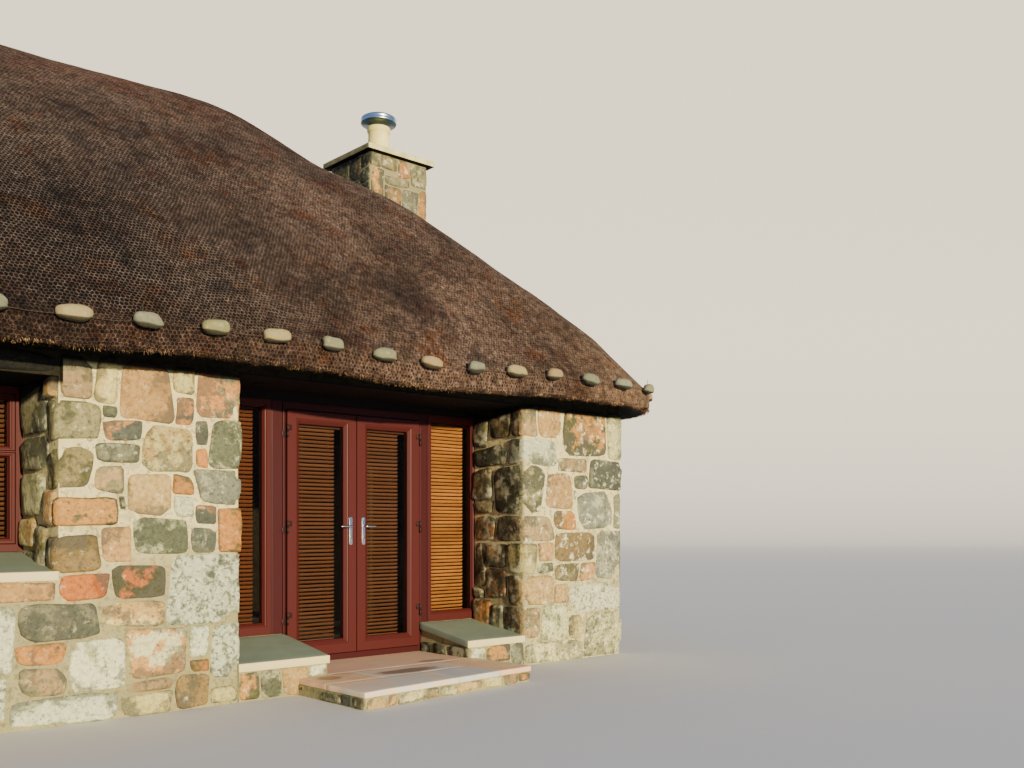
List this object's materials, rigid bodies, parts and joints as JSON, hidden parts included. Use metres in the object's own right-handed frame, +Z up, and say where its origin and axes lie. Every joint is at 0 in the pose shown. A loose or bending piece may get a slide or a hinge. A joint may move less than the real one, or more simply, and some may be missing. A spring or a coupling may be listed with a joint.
{
  "type": "thatched cottage",
  "caption": "Single-storey rubble-stone cottage with a rounded hipped thatched roof, a recessed entrance with outward-opening double doors, deep window reveals and a chimney.",
  "frame": {"origin": "middle of the plan of the walls, at ground level, on the underside of the floor", "axes": "+X runs along the front to the right as seen from outside, +Y runs from the front into the house, +Z is up"},
  "size_m": [11.0522, 7.2851, 5.777],
  "materials": {
    "rubble": "rough rubble stones in cream mortar",
    "thatch": "weathered brown reed under wire netting",
    "cobbles": "smooth beach cobbles",
    "red_frame": "mahogany red, satin",
    "glass": "clear glazing",
    "slats": "stained wooden slats, satin",
    "slate": "riven grey slate",
    "sandstone": "sandstone paving, stained",
    "dark_timber": "dark stained boards",
    "chrome": "polished",
    "cap_concrete": "weathered concrete",
    "clay": "cream fired clay",
    "cowl_metal": "spun metal, weathered",
    "screed": "float finished"
  },
  "bodies": {
    "house": {"wall_front_left": "rubble", "wall_front_right": "rubble", "wall_back": "rubble", "wall_left": "rubble", "wall_right": "rubble", "wall_head_front": "rubble", "wall_head_back": "rubble", "plinth_left": "rubble", "plinth_right": "rubble", "step_base": "rubble", "chimney_stack": "rubble", "thatch": "thatch", "netting_weights_front": "cobbles", "netting_weights_right": "cobbles", "netting_weights_back": "cobbles", "netting_weights_left": "cobbles", "door_frame": "red_frame", "window_front_1_frame": "red_frame", "window_front_2_frame": "red_frame", "window_back_1_frame": "red_frame", "window_back_2_frame": "red_frame", "sidelight_left_glass": "glass", "sidelight_right_glass": "glass", "window_front_1_glass": "glass", "window_front_2_glass": "glass", "window_back_1_glass": "glass", "window_back_2_glass": "glass", "sidelight_left_blind": "slats", "sidelight_right_blind": "slats", "window_front_1_blind": "slats", "window_front_2_blind": "slats", "window_back_1_blind": "slats", "window_back_2_blind": "slats", "plinth_left_sill": "slate", "plinth_right_sill": "slate", "window_front_1_sill": "slate", "window_front_2_sill": "slate", "window_back_1_sill": "slate", "window_back_2_sill": "slate", "step_flags": "sandstone", "door_head_board": "dark_timber", "recess_soffit": "dark_timber", "chimney_cap": "cap_concrete", "chimney_pot": "clay", "chimney_cowl": "cowl_metal", "floor": "screed"},
    "door_left": {"door_left_leaf": "red_frame", "door_left_glass": "glass", "door_left_blind": "slats", "door_left_handle_plate": "chrome"},
    "door_right": {"door_right_leaf": "red_frame", "door_right_glass": "glass", "door_right_blind": "slats", "door_right_handle_plate": "chrome"},
    "lever_left": {"door_left_lever": "chrome"},
    "lever_right": {"door_right_lever": "chrome"}
  },
  "joints": [
    {"name": "door_left_swing", "type": "hinge", "parent": "house", "child": "door_left", "pos_m": [1.769, -2.334, 1.14], "axis": [0, 0, -1], "range_deg": [0, 90]},
    {"name": "door_right_swing", "type": "hinge", "parent": "house", "child": "door_right", "pos_m": [3.055, -2.334, 1.14], "axis": [0, 0, 1], "range_deg": [0, 90]},
    {"name": "lever_left_turn", "type": "hinge", "parent": "door_left", "child": "lever_left", "pos_m": [2.35, -2.34, 1.197], "axis": [0, -1, 0], "range_deg": [0, 40], "stiffness_Nm_per_rad": 1.2, "springref_deg": -28.65},
    {"name": "lever_right_turn", "type": "hinge", "parent": "door_right", "child": "lever_right", "pos_m": [2.474, -2.34, 1.197], "axis": [0, 1, 0], "range_deg": [0, 40], "stiffness_Nm_per_rad": 1.2, "springref_deg": -28.65}
  ]
}
